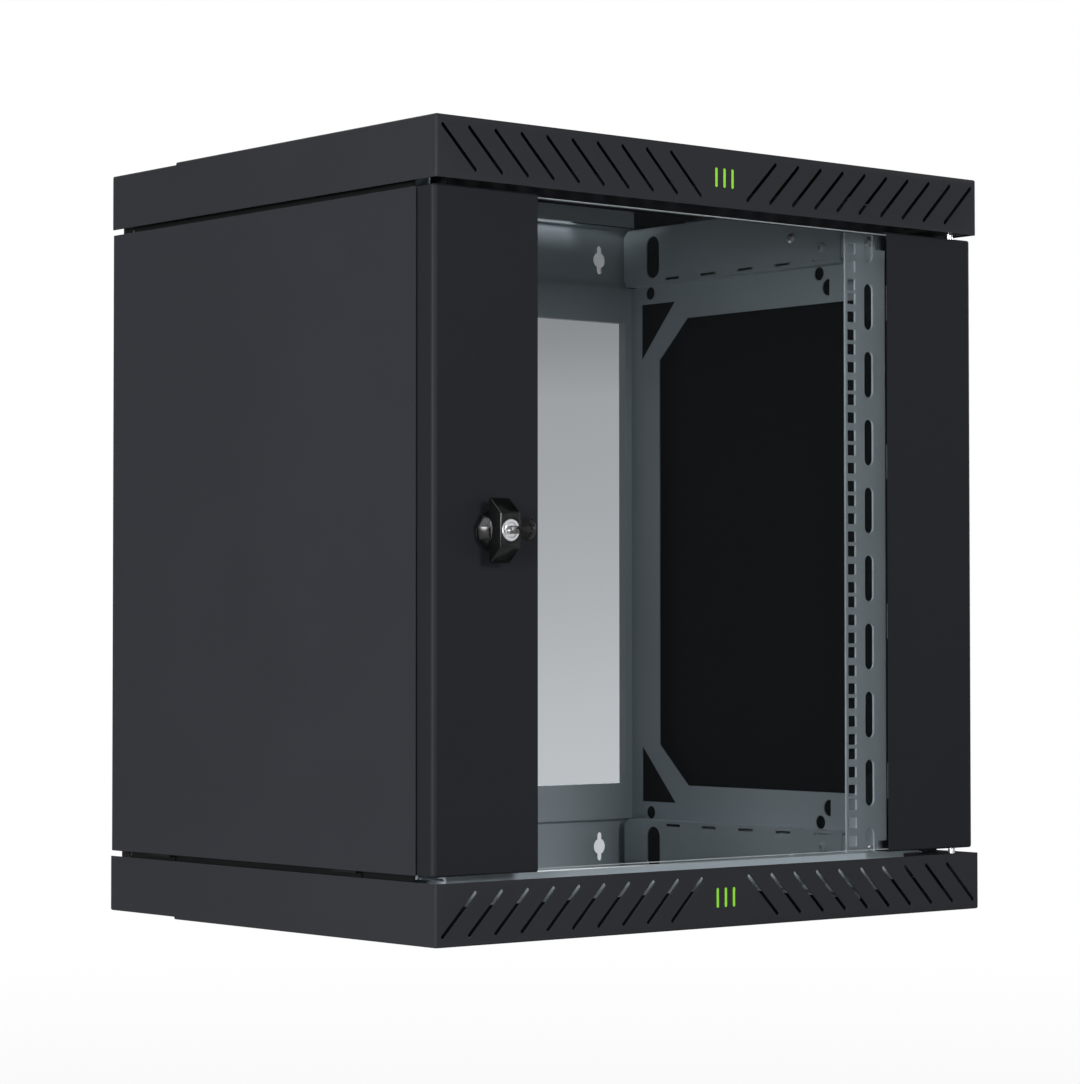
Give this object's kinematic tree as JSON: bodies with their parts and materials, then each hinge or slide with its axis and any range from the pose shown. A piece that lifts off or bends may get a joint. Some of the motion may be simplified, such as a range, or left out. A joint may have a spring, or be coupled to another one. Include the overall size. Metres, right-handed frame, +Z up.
{
  "type": "wall mount network cabinet",
  "caption": "Wall-hung rack cabinet with a steel-framed glass door on sprung hinge pins, a keyed lock, tilt-off side panels, vented caps, open cable entries and rack rails.",
  "frame": {"origin": "middle of the footprint on the underside of the bottom cap", "axes": "+X to the right seen from the front, +Y towards the wall, +Z up"},
  "size_m": [0.6, 0.4991, 0.635],
  "materials": {
    "cap_paint": "fine-texture black powder coat",
    "panel_paint": "fine-texture black powder coat",
    "door_paint": "fine-texture black powder coat",
    "frame_paint": "satin blue-grey powder coat",
    "rail_paint": "satin grey coat",
    "lug_paint": "black coat",
    "accent_enamel": "green enamel",
    "door_glass": "clear toughened glass with a light grey tint",
    "black_rubber": "matt",
    "lock_chrome": "polished",
    "key_nickel": "polished nickel",
    "knob_plastic": "black moulded",
    "barrel_plastic": "black moulded",
    "zinc_steel": "bright zinc plate",
    "spring_steel": "plain spring wire"
  },
  "bodies": {
    "cabinet": {"accent_bars": "accent_enamel", "bottom_cap": "cap_paint", "bottom_front_bar": "frame_paint", "bottom_hinge_lug": "lug_paint", "bottom_left_depth_beam": "frame_paint", "bottom_left_splice_plate": "frame_paint", "bottom_rear_cross_bar": "frame_paint", "bottom_right_depth_beam": "frame_paint", "bottom_right_splice_plate": "frame_paint", "cap_brackets": "panel_paint", "cap_screws": "zinc_steel", "corner_brackets": "frame_paint", "door_buffers": "black_rubber", "earth_nut": "zinc_steel", "earth_stud": "zinc_steel", "frame_rivets": "zinc_steel", "left_rail": "rail_paint", "left_rear_post": "frame_paint", "left_side_frame": "frame_paint", "lock_strike": "frame_paint", "panel_clips": "zinc_steel", "panel_lugs": "frame_paint", "right_rail": "rail_paint", "right_rear_post": "frame_paint", "right_side_frame": "frame_paint", "splice_bolts": "zinc_steel", "top_cap": "cap_paint", "top_front_bar": "frame_paint", "top_hinge_lug": "lug_paint", "top_left_depth_beam": "frame_paint", "top_left_splice_plate": "frame_paint", "top_rear_cross_bar": "frame_paint", "top_right_depth_beam": "frame_paint", "top_right_splice_plate": "frame_paint"},
    "door": {"left_door_strip": "door_paint", "right_door_strip": "door_paint", "left_glass_seal": "black_rubber", "right_glass_seal": "black_rubber", "door_glass": "door_glass", "glass_clips": "zinc_steel", "clip_screws": "zinc_steel", "bottom_hinge_bracket": "zinc_steel", "top_hinge_bracket": "zinc_steel", "bottom_hinge_spring": "spring_steel", "top_hinge_spring": "spring_steel", "lock_barrel": "barrel_plastic", "lock_nut": "zinc_steel"},
    "knob": {"wing_knob": "knob_plastic", "lock_cylinder": "lock_chrome", "lock_cam": "zinc_steel", "cam_nut": "zinc_steel"},
    "plug": {"lock_plug": "lock_chrome"},
    "key": {"key": "key_nickel"},
    "bottom_pin": {"bottom_hinge_pin": "zinc_steel"},
    "top_pin": {"top_hinge_pin": "zinc_steel"},
    "left_panel": {"left_side_panel": "panel_paint", "left_panel_rib": "panel_paint"},
    "right_panel": {"right_side_panel": "panel_paint", "right_panel_rib": "panel_paint"}
  },
  "joints": [
    {"name": "door_hinge", "type": "hinge", "parent": "cabinet", "child": "door", "pos_m": [0.279, -0.213, 0.3175], "axis": [0, 0, 1], "range_deg": [0, 180]},
    {"name": "knob_turn", "type": "hinge", "parent": "door", "child": "knob", "pos_m": [-0.243, -0.22, 0.3175], "axis": [0, 1, 0], "range_deg": [0, 90]},
    {"name": "key_turn", "type": "hinge", "parent": "knob", "child": "plug", "pos_m": [-0.243, -0.23, 0.3175], "axis": [0, 1, 0], "range_deg": [0, 90]},
    {"name": "key_withdraw", "type": "slide", "parent": "plug", "child": "key", "axis": [0, -1, 0], "range_m": [0, 0.025]},
    {"name": "bottom_pin_slide", "type": "slide", "parent": "door", "child": "bottom_pin", "axis": [0, 0, 1], "range_m": [0, 0.006], "stiffness_N_per_m": 250, "springref_m": -0.008, "deforming": ["bottom_hinge_spring"]},
    {"name": "top_pin_slide", "type": "slide", "parent": "door", "child": "top_pin", "axis": [0, 0, -1], "range_m": [0, 0.006], "stiffness_N_per_m": 250, "springref_m": -0.008, "deforming": ["top_hinge_spring"]},
    {"name": "left_panel_tilt", "type": "hinge", "parent": "cabinet", "child": "left_panel", "pos_m": [-0.2994, 0, 0.0536], "axis": [0, -1, 0], "range_deg": [0, 12]},
    {"name": "right_panel_tilt", "type": "hinge", "parent": "cabinet", "child": "right_panel", "pos_m": [0.2994, 0, 0.0536], "axis": [0, 1, 0], "range_deg": [0, 12]}
  ]
}
